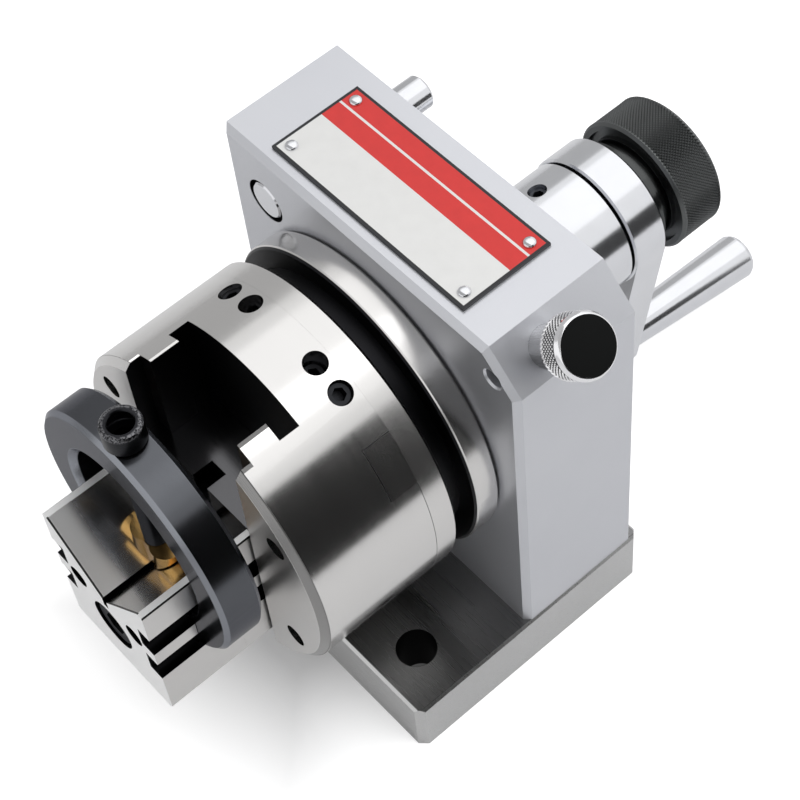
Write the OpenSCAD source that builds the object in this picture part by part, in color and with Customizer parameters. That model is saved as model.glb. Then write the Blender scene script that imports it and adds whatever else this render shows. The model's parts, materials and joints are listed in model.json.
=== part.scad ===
// Punch grinding fixture: a spindle in a block, indexed in steps of 15 degrees, with a V block on a cross slide.
// Millimetres. +Z up, -Y is the front (the V block's end), +X is the side with the pull knob.
// The origin is the centre of the base plate's underside.

/* [Base plate] */
// Distance that the base plate stands out past the block on the left and right
base_margin = 0.5; // [0:0.5:8]
// Length of the base plate, front to back
base_length = 76; // [66:1:100]
// Thickness of the base plate
base_thickness = 18.5; // [14:0.5:24]
// Bevel round the top edge of the base plate
base_bevel = 0.8; // [0.4:0.1:1.6]
// Chamfer at the base plate's upright corners
base_corner = 2; // [0.5:0.5:3]
// Diameter of the two holes that bolt the fixture down
hold_down_diameter = 10.5; // [8.5:0.5:12]
// Distance between the two hold down holes
hold_down_spacing = 72; // [60:1:78]
// Distance of the hold down holes in front of the plate's centre
hold_down_forward = 26; // [22:0.5:28]
// Diameter of the four bolts that hold the block on the base plate
block_bolt_diameter = 8; // [6:1:8]
// Distance of the block's bolts from the block's faces, front and back
block_bolt_inset = 8; // [7:0.5:9]
// Depth of the bolts' thread in the block
block_bolt_reach = 16.5; // [12:0.5:18]
// Diameter of the two dowels between the block and the base plate
base_dowel_diameter = 8; // [6:1:8]
// Distance between the two base dowels
base_dowel_spacing = 40; // [30:1:44]
// Depth of the base dowels in each piece
base_dowel_reach = 12; // [8:0.5:12.5]

/* [Block] */
// Width of the block
block_width = 100; // [92:1:112]
// Depth of the block, front to back
block_depth = 35.5; // [34:0.5:38]
// Height of the block above the base plate
block_height = 108; // [104:1:120]
// Distance of the block's front face in front of the base plate's centre
block_forward = 1; // [0:0.5:2]
// Bevel round the block's front edges
block_bevel = 1.6; // [1:0.1:2.5]
// Size of the chamfer that carries the pull knob
corner_chamfer = 10; // [9:0.5:13]
// Height of the spindle's centre above the table
centre_height = 75; // [70:0.5:82]

/* [Nameplate] */
// Length of the nameplate
plate_length = 65.4; // [50:0.2:72]
// Width of the nameplate
plate_width = 26; // [20:0.2:30]
// Thickness of the nameplate
plate_thickness = 0.8; // [0.5:0.1:1.5]
// Distance of the nameplate's centre to the left of the block's centre
plate_left = 3.3; // [0:0.1:8]
// Distance from the nameplate's edge to a rivet's centre
rivet_inset = 3.3; // [2.5:0.1:5]
// Radius of a rivet head
rivet_radius = 1.6; // [1:0.1:2.2]

/* [Spindle] */
// Diameter of the spindle in its bushes
spindle_diameter = 32; // [26:1:34]
// Diameter of the spindle behind the block
tail_diameter = 22; // [16:1:24]
// Radial clearance of a running fit
running_clearance = 0.05; // [0.02:0.01:0.09]
// Radial clearance between fixed pieces
seat_clearance = 0.02; // [0.01:0.01:0.05]
// Diameter of the ring that takes the index pin
index_diameter = 52; // [48:0.5:53]
// Width of the index ring
index_width = 8; // [6.5:0.5:8.5]
// Number of holes in the index ring
index_count = 24; // [12, 24]
// Diameter of a hole in the index ring
index_hole_diameter = 4.5; // [4:0.1:5]
// Distance of the index ring's middle behind the block's front face
index_back = 13.5; // [13:0.25:14]

/* [Faceplate and chuck] */
// Diameter of the faceplate's rear rim
flange_diameter = 86; // [80:0.5:92]
// Width of the faceplate's rear rim
flange_width = 7.4; // [5:0.1:9]
// Gap between the faceplate and the block
flange_gap = 0.35; // [0.3:0.05:0.8]
// Diameter of the dark groove
groove_diameter = 74; // [60:1:78]
// Width of the dark groove
groove_width = 6; // [4:0.1:9]
// Width of the faceplate's front rim
front_rim_width = 6.5; // [5:0.1:8]
// Diameter of the chuck body
chuck_diameter = 86.5; // [82:0.5:90]
// Length of the chuck body
chuck_length = 34.1; // [32:0.1:38]
// Bevel at the chuck's front edge
chuck_bevel = 1.8; // [1:0.1:3]
// Width of the slot's front recess and of its wide rear part
slot_wide = 39.4; // [36:0.2:42]
// Width of the slot's neck
slot_neck = 30.6; // [26:0.2:32]
// Depth of the slot's front recess
recess_depth = 4.6; // [3.6:0.1:6]
// Depth of the slot's neck
neck_depth = 8; // [6:0.1:9]
// Depth of the slot's wide rear part
tee_depth = 5.6; // [4:0.1:6]
// Distance between the long chuck screws, left to right
chuck_screw_x = 60; // [57:0.5:62]
// Distance between the long chuck screws, up and down
chuck_screw_z = 40; // [30:0.5:44]
// Diameter of the chuck's screws
chuck_screw_diameter = 6; // [5:0.5:6]
// Angle of the outer pair of set screws from the top
outer_screw_angle = 26.7; // [25.5:0.1:30]
// Angle of the inner pair of set screws from the top
inner_screw_angle = 15.2; // [12:0.1:16]
// Distance of the set screws in front of the chuck body's rear face
set_screw_forward = 3.9; // [3.6:0.1:5]
// Depth of the outer set screws below the chuck's surface
outer_screw_sunk = 1.4; // [0.5:0.1:4]
// Depth of the inner set screws below the chuck's surface
inner_screw_sunk = 6.5; // [3:0.1:7]
// Length of the chuck's set screws
set_screw_length = 8; // [6:0.5:8]
// Length of the key let into the chuck's side, along the spindle
key_length = 7.6; // [5:0.1:9]
// Width of the key, round the chuck
key_width = 14; // [10:0.5:16]
// Angle of the key from the top
key_angle = 53.5; // [50:0.5:60]
// Depth of the key's pocket
key_depth = 3; // [2:0.1:3.2]

/* [Slide] */
// Distance of the slide's front face behind the chuck's front face
slide_set_back = 1.1; // [0.5:0.1:2]
// Height of the slide
slide_height = 43.5; // [36:0.5:46]
// Height of the slide's underside above the table
slide_bottom = 43.5; // [40:0.5:48]
// Clearance of the slide in its slot, each side
slide_clearance = 0.05; // [0.03:0.01:0.1]
// Width of the notch in the slide's top
notch_width = 5.2; // [4.8:0.2:8]
// Depth of the notch, front to back
notch_back = 5.6; // [5.2:0.2:7]
// Depth of the notch, downwards
notch_down = 12; // [6:0.5:14]

/* [V block] */
// Width of the V block
vee_width = 37.4; // [36:0.2:39]
// Height of the V block's underside above the table
vee_bottom = 42.4; // [40:0.1:46]
// Height of the V block's top above the table
vee_top = 86.5; // [84:0.5:88]
// Depth of the V, which has an angle of 90 degrees
vee_depth = 17; // [15:0.5:17.5]
// Width of the relief slot in the V's root
relief_width = 1.6; // [1:0.1:2.5]
// Depth of the relief slot
relief_depth = 1.5; // [1:0.1:2.5]
// Length of the V block in front of the ring
vee_front_length = 11.8; // [11.4:0.1:14]
// Length of the V block behind the ring
vee_rear_length = 8.6; // [7:0.1:9.5]
// Chamfer at the V block's lower corners
vee_chamfer = 1; // [0.5:0.1:4]
// Radius of the rounded grooves in the V block's sides
groove_radius = 3.4; // [2.8:0.1:3.6]
// Depth of the side grooves
side_groove_depth = 4.3; // [3.6:0.1:4.6]
// Height of the upper side groove's middle above the table
upper_groove_z = 72.6; // [71.5:0.1:73.5]
// Height of the lower side groove's middle above the table
lower_groove_z = 61.2; // [60:0.1:62]
// Height of the V block bolt above the table
vee_bolt_z = 58.6; // [58.4:0.1:58.8]
// Diameter of the V block bolt
vee_bolt_diameter = 8; // [6:1:8]
// Diameter of the hole for the V block bolt's head
vee_bolt_counterbore = 14; // [13.4:0.1:15]
// Height of the dowels above the table
dowel_z = 67.9; // [67:0.1:68.5]
// Distance between the dowels
dowel_spacing = 21.4; // [20.4:0.2:22]

/* [Clamp ring] */
// Outer diameter of the clamp ring
ring_diameter = 66.8; // [66:0.2:68]
// Bore of the clamp ring
ring_bore = 44; // [42:0.5:46]
// Thickness of the clamp ring
ring_thickness = 10.8; // [9:0.1:12]
// Height of the ring's centre above the table
ring_z = 86.6; // [86.4:0.1:87]
// Bevel at the ring's outer edges
ring_bevel = 1.1; // [0.6:0.1:1.1]
// Bevel at the edges of the ring's bore
ring_bore_bevel = 1.6; // [0.8:0.1:1.7]
// Diameter of the clamp screw
clamp_screw_diameter = 6; // [5:0.5:6]
// Diameter of the clamp screw's head
clamp_head_diameter = 10; // [8:0.5:11]
// Height of the clamp screw's head
clamp_head_height = 6; // [4.5:0.5:7]
// Height of the brass pad's top above the table
pad_top = 79.8; // [78:0.1:81]
// Radius of each round end of the brass pad
pad_radius = 4; // [3.5:0.1:4.5]
// Distance between the pad's two round ends
pad_spread = 7.2; // [6:0.2:8]

/* [Pull knob] */
// Diameter of the plunger's sleeve
sleeve_diameter = 10; // [9.5:0.1:10.5]
// Length of sleeve outside the block
sleeve_out = 11.6; // [8:0.1:14]
// Diameter of the index pin
pin_diameter = 4.4; // [3.8:0.1:4.4]
// Depth of the index pin in the index ring
pin_depth = 3.4; // [2:0.1:3.8]
// Diameter of the pull knob
pull_knob_diameter = 15.2; // [14:0.2:20]
// Thickness of the pull knob
pull_knob_thickness = 5.6; // [5:0.1:8]

/* [Rear] */
// Diameter of the sleeve against the block's rear face
rear_sleeve_diameter = 36; // [33:0.5:37]
// Length of the rear sleeve
rear_sleeve_length = 32.4; // [28:0.2:36]
// Diameter of the clamping ring
lock_ring_diameter = 37; // [35:0.5:40]
// Width of the clamping ring
lock_ring_width = 10.6; // [9:0.2:12]
// Length of the clamping ring's arm, centre to centre
arm_length = 56; // [48:0.5:58]
// Radius of the arm's outer end
arm_end_radius = 7; // [6.5:0.1:8]
// Angle of the arm from straight down
arm_angle = 3; // [0:0.5:10]
// Length of the tapered handle
handle_length = 47; // [36:0.5:52]
// Diameter of the handle at the arm
handle_root_diameter = 10; // [9:0.1:11]
// Diameter of the handle at its free end
handle_end_diameter = 13.2; // [11:0.1:14]
// Tilt of the handle away from the spindle
handle_tilt = 6.6; // [4:0.2:8]
// Diameter of the turning knob
knob_diameter = 37.4; // [35:0.2:42]
// Width of the turning knob
knob_width = 13.8; // [11:0.2:18]
// Distance between the clamping ring and the turning knob
knob_gap = 6; // [5:0.2:9]

// Diameter of the hub between the clamping ring and the turning knob
hub_diameter = 28.4; // [26:0.2:32]
// Diameter of the hub's rim beside the clamping ring
hub_rim_diameter = 30.8; // [30:0.2:34]

/* [Through pin] */
// Diameter of the pin through the block's upper left corner
through_pin_diameter = 10; // [8:0.5:10]
// Length of the pin behind the block
through_pin_out = 14; // [6:0.5:18]
// Distance of the pin to the left of the block's centre
through_pin_left = 36.6; // [34:0.1:38]
// Distance of the pin below the block's top
through_pin_down = 16.2; // [14:0.1:18]

/* [Hidden] */
$fn = 96;
base_width = block_width + 2 * base_margin;
front_y = -block_forward;
back_y = front_y + block_depth;
block_top = base_thickness + block_height;
spindle_r = spindle_diameter / 2;
tail_r = tail_diameter / 2;
chamber_r = index_diameter / 2 + 1;
chamber_back = index_back + index_width / 2 + 0.5;
bush_r = spindle_r + 4;
index_y = front_y + index_back;
flange_back = front_y - flange_gap;
flange_front = flange_back - flange_width;
rim_back = flange_front - groove_width;
chuck_back = rim_back - front_rim_width;
chuck_front = chuck_back - chuck_length;
recess_floor = chuck_front + recess_depth;
tee_front = recess_floor + neck_depth;
tee_back = tee_front + tee_depth;
set_screw_y = chuck_back - set_screw_forward;
screw_r = chuck_screw_diameter / 2;
slide_top = slide_bottom + slide_height;
slide_front = chuck_front + slide_set_back;
vee_rear_back = slide_front - 0.05;
vee_rear_front = vee_rear_back - vee_rear_length;
ring_gap = 0.1;
ring_y = vee_rear_front - ring_gap - ring_thickness / 2;
vee_front_back = ring_y - ring_thickness / 2 - ring_gap;
vee_front = vee_front_back - vee_front_length;
vee_root = vee_top - vee_depth;
ring_top = ring_z + ring_diameter / 2;
vee_bolt_r = vee_bolt_diameter / 2;
vee_bolt_head = vee_front + vee_bolt_diameter + 0.6;
clamp_head_z = ring_top + 0.3;
clamp_r = clamp_screw_diameter / 2;
chamfer_r = (block_width / 2 + block_top - corner_chamfer - centre_height) / sqrt(2);
sleeve_r = sleeve_diameter / 2;
pin_r = pin_diameter / 2;
pin_tip = index_diameter / 2 - pin_depth;
sleeve_foot = chamber_r + 1.2;
collar_foot = sleeve_foot + 8.2;
guide_foot = chamfer_r - 2.5;
knob_foot = chamfer_r + sleeve_out + 0.4;
sleeve_end_y = back_y + rear_sleeve_length;
lock_front = sleeve_end_y + 0.5;
lock_back = lock_front + lock_ring_width;
knob_front = lock_back + knob_gap;
knob_back = knob_front + knob_width;
taper_sin = (lock_ring_diameter / 2 - arm_end_radius) / arm_length;
taper_cos = sqrt(1 - taper_sin * taper_sin);
grub_x = chamfer_r / sqrt(2) * 0.925;
grub_z = centre_height + chamfer_r / sqrt(2) * 0.9425;
bolt_x = block_width / 2 - 14;
bolt_ys = [front_y + block_bolt_inset, back_y - block_bolt_inset];
bolt_r = block_bolt_diameter / 2;
bolt_head_r = bolt_r * 1.625;
bolt_head_depth = block_bolt_diameter + 2;
base_dowel_r = base_dowel_diameter / 2;
dowel_y = front_y + block_depth / 2;
steel = [0.66, 0.66, 0.67];
ground = [0.74, 0.74, 0.75];
chrome = [0.85, 0.86, 0.88];
coat = [0.70, 0.71, 0.74];
black = [0.09, 0.09, 0.10];
bronze = [0.66, 0.48, 0.26];
brass = [0.86, 0.64, 0.25];

// Helpers

// Draws a profile given in X and Z between two depths.
module upright(y_front, y_back) {
    translate([0, y_back, 0]) rotate([90, 0, 0])
        linear_extrude(y_back - y_front) children();
}

// A rod along Y.
module rod_y(r, y0, y1) {
    translate([0, y0, 0]) rotate([-90, 0, 0]) cylinder(r = r, h = y1 - y0);
}

// A turned solid along Y from a list of [radius, y] points.
module turned(points) {
    rotate([-90, 0, 0]) rotate_extrude() polygon(points);
}

// Moves a solid from the X axis line up to the spindle's centre line.
module on_centre() {
    translate([0, 0, centre_height]) children();
}

// Turns a solid built along Z into the pull knob's direction.
module on_plunger() {
    translate([0, index_y, centre_height]) rotate([0, 45, 0]) children();
}

// A hexagon socket, point to point size from its width across flats.
module hex_socket(flats, depth) {
    cylinder(d = flats / cos(30), h = depth, $fn = 6);
}

// A set screw along Z with its socket at the top.
module set_screw(r, length, flats) {
    difference() {
        union() {
            cylinder(r = r, h = length - 0.4);
            translate([0, 0, length - 0.4]) cylinder(r1 = r, r2 = r - 0.4, h = 0.4);
        }
        translate([0, 0, length - r]) hex_socket(flats, r + 1);
    }
}

// A socket head screw along Z, its shank downwards from the origin.
module cap_screw(r, length, head_r, head_h, flats) {
    difference() {
        union() {
            translate([0, 0, -length]) cylinder(r = r, h = length + 0.5);
            cylinder(r = head_r, h = head_h - 0.5);
            translate([0, 0, head_h - 0.5]) cylinder(r1 = head_r, r2 = head_r - 0.5, h = 0.5);
        }
        translate([0, 0, head_h / 2]) hex_socket(flats, head_h);
    }
}

// Places a child at both ends of a pair.
module at_pair(x) {
    for (side = [-1, 1]) translate([side * x, 0, 0]) children();
}

// Fixed pieces

module base_plate() {
    color(steel) difference() {
        base_body();
        for (side = [-1, 1])
            translate([side * hold_down_spacing / 2, -hold_down_forward, -1])
                cylinder(d = hold_down_diameter, h = base_thickness + 2);
        for (x = [-bolt_x, bolt_x], y = bolt_ys) translate([x, y, -1]) {
            cylinder(r = bolt_r + seat_clearance, h = base_thickness + 2);
            cylinder(r = bolt_head_r + 0.5, h = bolt_head_depth + 1);
        }
        at_base_dowels() cylinder(r = base_dowel_r + seat_clearance, h = base_dowel_reach + 1.2);
    }
}

// The base plate with its top edges and upright corners bevelled.
module base_body() {
    b = base_bevel;
    h = base_thickness;
    w = base_width / 2;
    n = base_length / 2;
    c = base_corner;
    intersection() {
        linear_extrude(h)
            polygon([[-w + c, -n], [w - c, -n], [w, -n + c], [w, n - c], [w - c, n], [-w + c, n],
                [-w, n - c], [-w, -n + c]]);
        upright(-n, n)
            polygon([[-w, 0], [w, 0], [w, h - b], [w - b, h], [-w + b, h], [-w, h - b]]);
        rotate([0, 0, 90]) upright(-w, w)
            polygon([[-n, 0], [n, 0], [n, h - b], [n - b, h], [-n + b, h], [-n, h - b]]);
    }
}

// Places a child at the foot of each base dowel's hole in the base plate.
module at_base_dowels() {
    for (side = [-1, 1])
        translate([side * base_dowel_spacing / 2, dowel_y, base_thickness - base_dowel_reach - 0.2])
            children();
}

// The block's outline in X and Z.
module block_outline() {
    w = block_width / 2;
    c = corner_chamfer;
    polygon([[-w, base_thickness], [w, base_thickness], [w, block_top - c],
        [w - c, block_top], [-w, block_top]]);
}

module headstock() {
    color(coat) difference() {
        union() {
            upright(front_y + block_bevel, back_y) block_outline();
            intersection() {
                upright(front_y, front_y + block_bevel + 0.01) block_outline();
                front_bevel_body();
            }
        }
        on_centre() rod_y(chamber_r, front_y - 1, front_y + chamber_back);
        on_centre() rod_y(bush_r, front_y, back_y + 1);
        on_plunger() cylinder(r = sleeve_r + seat_clearance, h = chamfer_r + 20);
        translate([-through_pin_left, 0, block_top - through_pin_down]) {
            rod_y(through_pin_diameter / 2 + seat_clearance, front_y - 1, back_y + 1);
            rod_y(through_pin_diameter / 2 + 1, front_y - 1, front_y + 3);
        }
        translate([grub_x, 0, grub_z]) {
            rod_y(2.5, front_y - 1, index_y - 3);
            turned([[0, front_y - 0.1], [3.05, front_y - 0.1], [2.5, front_y + 0.5],
                [0, front_y + 0.5]]);
        }
        for (x = [-bolt_x, bolt_x], y = bolt_ys) translate([x, y, base_thickness - 1])
            cylinder(r = bolt_r + seat_clearance, h = block_bolt_reach + 3);
        at_base_dowels() cylinder(r = base_dowel_r + seat_clearance, h = base_dowel_reach * 2 + 2);
    }
}

// A body whose faces lean in towards the front, one for each bevelled edge.
module front_bevel_body() {
    b = block_bevel;
    w = block_width / 2;
    intersection() {
        linear_extrude(block_top + 1)
            polygon([[-w + b, front_y], [w - b, front_y], [w, front_y + b],
                [w, front_y + b + 1], [-w, front_y + b + 1], [-w, front_y + b]]);
        rotate([90, 0, 90]) translate([0, 0, -w - 1]) linear_extrude(2 * w + 2)
            polygon([[front_y, 0], [front_y, block_top - b], [front_y + b, block_top],
                [front_y + b + 1, block_top], [front_y + b + 1, 0]]);
        on_front_chamfer() linear_extrude(4 * w, center = true)
            polygon([[-200, front_y], [chamfer_r - b, front_y], [chamfer_r, front_y + b],
                [chamfer_r, front_y + b + 1], [-200, front_y + b + 1]]);
    }
}

// Lays a profile of [distance from the spindle, y] across the corner chamfer.
module on_front_chamfer() {
    translate([0, 0, centre_height]) rotate([0, -45, 0]) children();
}

module headstock_bolts() {
    color(black) for (x = [-bolt_x, bolt_x], y = bolt_ys)
        translate([x, y, bolt_head_depth - seat_clearance]) mirror([0, 0, 1])
            cap_screw(bolt_r, base_thickness - bolt_head_depth + block_bolt_reach, bolt_head_r,
                block_bolt_diameter, block_bolt_diameter * 0.75);
}

module base_dowels() {
    color(steel) at_base_dowels() translate([0, 0, 0.2])
        cylinder(r = base_dowel_r, h = base_dowel_reach * 2);
}

module name_plate() {
    color([0.93, 0.93, 0.92]) difference() {
        translate([-plate_left - plate_length / 2, front_y + 16.9 - plate_width / 2, block_top])
            cube([plate_length, plate_width, plate_thickness]);
        at_rivets() translate([0, 0, -1]) cylinder(r = 0.8 + seat_clearance, h = 4);
    }
}

module at_rivets() {
    x = plate_length / 2 - rivet_inset;
    y = plate_width / 2 - rivet_inset;
    for (a = [-x, x], b = [-y, y])
        translate([a - plate_left, b + front_y + 16.9, block_top]) children();
}

module plate_rivets() {
    top = plate_thickness;
    color(chrome) at_rivets() rotate_extrude()
        polygon([[0, 0], [0.8, 0], [0.8, top], [rivet_radius, top],
            [rivet_radius * 0.86, top + 0.45], [rivet_radius * 0.5, top + 0.8], [0, top + 0.9]]);
}

module front_bush() {
    color(bronze) on_centre() turned([[spindle_r + running_clearance, front_y + 0.1],
        [chamber_r - seat_clearance, front_y + 0.1],
        [chamber_r - seat_clearance, index_y - index_width / 2 - 0.5],
        [spindle_r + running_clearance, index_y - index_width / 2 - 0.5]]);
}

module rear_bush() {
    color(bronze) on_centre() turned([[spindle_r + running_clearance, front_y + chamber_back],
        [bush_r - seat_clearance, front_y + chamber_back],
        [bush_r - seat_clearance, back_y - 0.1],
        [spindle_r + running_clearance, back_y - 0.1]]);
}

module rear_sleeve() {
    r = rear_sleeve_diameter / 2;
    color(chrome) difference() {
        on_centre() turned([[tail_r + running_clearance, back_y], [r, back_y],
            [r, sleeve_end_y - 0.5], [r - 0.5, sleeve_end_y],
            [tail_r + running_clearance, sleeve_end_y]]);
        on_sleeve_screw() cylinder(r = 2.5, h = r + 5);
    }
}

module on_sleeve_screw() {
    translate([0, back_y + 22, centre_height]) rotate([0, -17, 0]) children();
}

module sleeve_screw() {
    r = rear_sleeve_diameter / 2;
    color(black) on_sleeve_screw() translate([0, 0, tail_r + 0.4])
        set_screw(2.5 - seat_clearance, r - tail_r - 1.6, 2.5);
}

module through_pin() {
    r = through_pin_diameter / 2;
    color(chrome) translate([-through_pin_left, 0, block_top - through_pin_down])
        turned([[0, front_y], [r - 0.4, front_y], [r, front_y + 0.4], [r, back_y],
            [r - 0.5, back_y + 0.5], [r - 0.5, back_y + through_pin_out - 0.7],
            [r - 1.2, back_y + through_pin_out], [0, back_y + through_pin_out]]);
}

module plunger_grub() {
    color(black) translate([grub_x, front_y + 6.8, grub_z]) rotate([90, 0, 0])
        set_screw(2.5 - seat_clearance, 4.6, 2.5);
}

module plunger_sleeve() {
    end = chamfer_r + sleeve_out;
    color(steel) on_plunger() difference() {
        rotate_extrude() polygon([[pin_r + running_clearance, sleeve_foot],
            [sleeve_r, sleeve_foot], [sleeve_r, end - 0.8], [sleeve_r - 0.8, end],
            [2.05, end], [2.05, guide_foot], [3.9, guide_foot],
            [3.9, collar_foot - 0.1], [pin_r + running_clearance, collar_foot - 0.1]]);
    }
}

module plunger_spring() {
    foot = collar_foot + 2.2;
    color(steel) on_plunger() translate([0, 0, foot + 0.3])
        linear_extrude(guide_foot - foot - 0.6, twist = -360 * 7, slices = 70, $fn = 6)
            coil_section(3.05, 0.38);
}

// A round wire cut level: a narrow arc on the coil's radius.
module coil_section(radius, wire) {
    polygon(concat([for (k = [-3 : 3]) (radius + wire * sqrt(1 - k * k / 10)) * arc_point(k)],
        [for (k = [3 : -1 : -3]) (radius - wire * sqrt(1 - k * k / 10)) * arc_point(k)]));
}

function arc_point(k) = [cos(k * 14), sin(k * 14)];

module plunger_pin() {
    end = knob_foot + 1.5;
    color(steel) on_plunger() rotate_extrude()
        polygon([[0, pin_tip], [pin_r - 0.6, pin_tip], [pin_r, pin_tip + 0.6],
            [pin_r, collar_foot], [3.7, collar_foot], [3.7, collar_foot + 2],
            [2, collar_foot + 2], [2, end], [0, end]]);
}

module plunger_knob() {
    r = pull_knob_diameter / 2;
    t = pull_knob_thickness;
    color(chrome) on_plunger() translate([0, 0, knob_foot]) rotate_extrude()
        polygon([[2 + seat_clearance, 0], [r - 0.7, 0], [r, 0.7], [r, t - 0.8], [r - 0.75, t],
            [r - 0.85, t], [r - 0.85, t - 1.2], [0, t - 1.2], [0, 1.55],
            [2 + seat_clearance, 1.55]]);
}

module plunger_cap() {
    r = pull_knob_diameter / 2 - 0.9;
    color(black) on_plunger() translate([0, 0, knob_foot + pull_knob_thickness - 1.2])
        cylinder(r = r, h = 1.25);
}

// Spindle and what turns with it

module spindle() {
    nose = rim_back - 1;
    color(steel) on_centre() difference() {
        turned([[0, nose], [spindle_r - 0.5, nose], [spindle_r, nose + 0.5],
            [spindle_r, back_y - 0.3], [tail_r, back_y - 0.3], [tail_r, lock_back + 0.3],
            [8, lock_back + 0.3], [8, knob_back - 3], [0, knob_back - 3]]);
        rod_y(5 + seat_clearance, nose - 1, nose + 21);
        rod_y(3 + seat_clearance, knob_back - 20, knob_back);
    }
}

module index_ring() {
    w = index_width / 2;
    r = index_diameter / 2;
    color(steel) difference() {
        on_centre() turned([[spindle_r + seat_clearance, index_y - w], [r - 0.3, index_y - w],
            [r, index_y - w + 0.3], [r, index_y + w - 0.3], [r - 0.3, index_y + w],
            [spindle_r + seat_clearance, index_y + w]]);
        for (k = [0 : index_count - 1]) translate([0, index_y, centre_height])
            rotate([0, 45 + k * 360 / index_count, 0]) translate([0, 0, r - 4.5])
                cylinder(d = index_hole_diameter, h = 6);
    }
}

module faceplate() {
    fr = flange_diameter / 2;
    gr = groove_diameter / 2;
    cr = chuck_diameter / 2;
    bore = spindle_r + seat_clearance;
    shelf = rim_back - 1 - seat_clearance;
    color(ground) difference() {
        on_centre() turned([[bore, flange_back], [fr - 0.8, flange_back], [fr, flange_back - 0.8],
            [fr, flange_front + 0.8], [fr - 0.8, flange_front], [gr, flange_front], [gr, rim_back],
            [cr - 0.8, rim_back], [cr, rim_back - 0.8], [cr, chuck_back], [14.2, chuck_back],
            [14.2, chuck_back + 2.8], [10, chuck_back + 2.8], [10, shelf], [bore, shelf]]);
        chuck_screw_holes(screw_r, chuck_back - 1, rim_back - 0.8);
    }
}

module nose_screw() {
    color(black) on_centre() difference() {
        turned([[0, chuck_back + 0.2], [13.6, chuck_back + 0.2], [14, chuck_back + 0.6],
            [14, chuck_back + 2.8], [5, chuck_back + 2.8], [5, rim_back + 15],
            [0, rim_back + 15]]);
        translate([0, chuck_back - 1, 0]) rotate([-90, 0, 0]) hex_socket(6, 4);
    }
}

module chuck_screw_holes(r, y0, y1) {
    for (x = [-1, 1], z = [-1, 1])
        translate([x * chuck_screw_x / 2, 0, centre_height + z * chuck_screw_z / 2])
            rod_y(r, y0, y1);
}

// The slot's section, seen from above, larger than the slide by its clearance.
module slot_section() {
    polygon([[-slot_wide / 2, chuck_front - 1], [slot_wide / 2, chuck_front - 1],
        [slot_wide / 2, recess_floor], [slot_neck / 2, recess_floor],
        [slot_neck / 2, tee_front], [slot_wide / 2, tee_front], [slot_wide / 2, tee_back],
        [-slot_wide / 2, tee_back], [-slot_wide / 2, tee_front], [-slot_neck / 2, tee_front],
        [-slot_neck / 2, recess_floor], [-slot_wide / 2, recess_floor]]);
}

module chuck_body() {
    r = chuck_diameter / 2;
    color(ground) difference() {
        on_centre() turned([[0, chuck_back - 0.02], [r, chuck_back - 0.02],
            [r, chuck_front + chuck_bevel], [r - chuck_bevel, chuck_front], [0, chuck_front]]);
        translate([0, 0, centre_height - r - 1]) linear_extrude(2 * r + 2) slot_section();
        chuck_screw_holes(screw_r, chuck_front - 1, chuck_back + 1);
        set_screw_holes(outer_screw_angle, outer_screw_sunk);
        set_screw_holes(inner_screw_angle, inner_screw_sunk);
        key_blank(0.1);
    }
}

// A pair of holes that hold set screws sunk by a depth below the chuck's surface.
module set_screw_holes(angle, sunk) {
    depth = sunk + set_screw_length + 0.2;
    at_set_screws(angle) translate([0, 0, chuck_diameter / 2 - depth])
        cylinder(r = screw_r, h = depth + 3);
}

// Places a child along Z on both set screws' lines, from the spindle's centre.
module at_set_screws(angle) {
    for (side = [-1, 1])
        translate([0, set_screw_y, centre_height]) rotate([0, side * angle, 0]) children();
}

// The key's block, grown all round by a gap.
module key_blank(gap) {
    r = chuck_diameter / 2;
    translate([0, chuck_back, centre_height]) rotate([0, key_angle, 0])
        translate([-key_width / 2 - gap, -key_length - gap, r - key_depth - gap])
            cube([key_width + 2 * gap, key_length + 2 * gap - 0.02, key_depth + 8]);
}

module side_key() {
    color(ground) intersection() {
        key_blank(0);
        on_centre() rod_y(chuck_diameter / 2, chuck_front, chuck_back);
    }
}

module chuck_screws() {
    reach = chuck_back - rim_back;
    color(black) for (x = [-1, 1], z = [-1, 1])
        translate([x * chuck_screw_x / 2, rim_back - 1.2, centre_height + z * chuck_screw_z / 2])
            rotate([90, 0, 0]) set_screw(screw_r - seat_clearance, chuck_length - 6 - reach, 3);
}

module chuck_set_screws() {
    foot = chuck_diameter / 2 - set_screw_length;
    color(black) {
        at_set_screws(outer_screw_angle) translate([0, 0, foot - outer_screw_sunk])
            set_screw(screw_r - seat_clearance, set_screw_length, 3);
        at_set_screws(inner_screw_angle) translate([0, 0, foot - inner_screw_sunk])
            set_screw(screw_r - seat_clearance, set_screw_length, 3);
    }
}

module knob_hub() {
    r = hub_diameter / 2;
    rim = hub_rim_diameter / 2;
    color(black) on_centre() turned([[8 + seat_clearance, lock_back + 0.35],
        [rim, lock_back + 0.35], [rim, lock_back + 2.6], [r, lock_back + 3.2],
        [r, knob_front], [8 + seat_clearance, knob_front]]);
}

module turning_knob() {
    r = knob_diameter / 2;
    color(black) on_centre() turned([[8 + seat_clearance, knob_front],
        [r - 2, knob_front], [r, knob_front + 2], [r, knob_back - 1.5], [r - 1.5, knob_back],
        [9, knob_back], [9, knob_back - 2.9], [8 + seat_clearance, knob_back - 2.9]]);
}

module knob_screw() {
    color(black) translate([0, knob_back - 2.9, centre_height]) rotate([-90, 0, 0])
        cap_screw(3, 15, 8.6, 3.4, 5);
}

// Slide and V block

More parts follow.
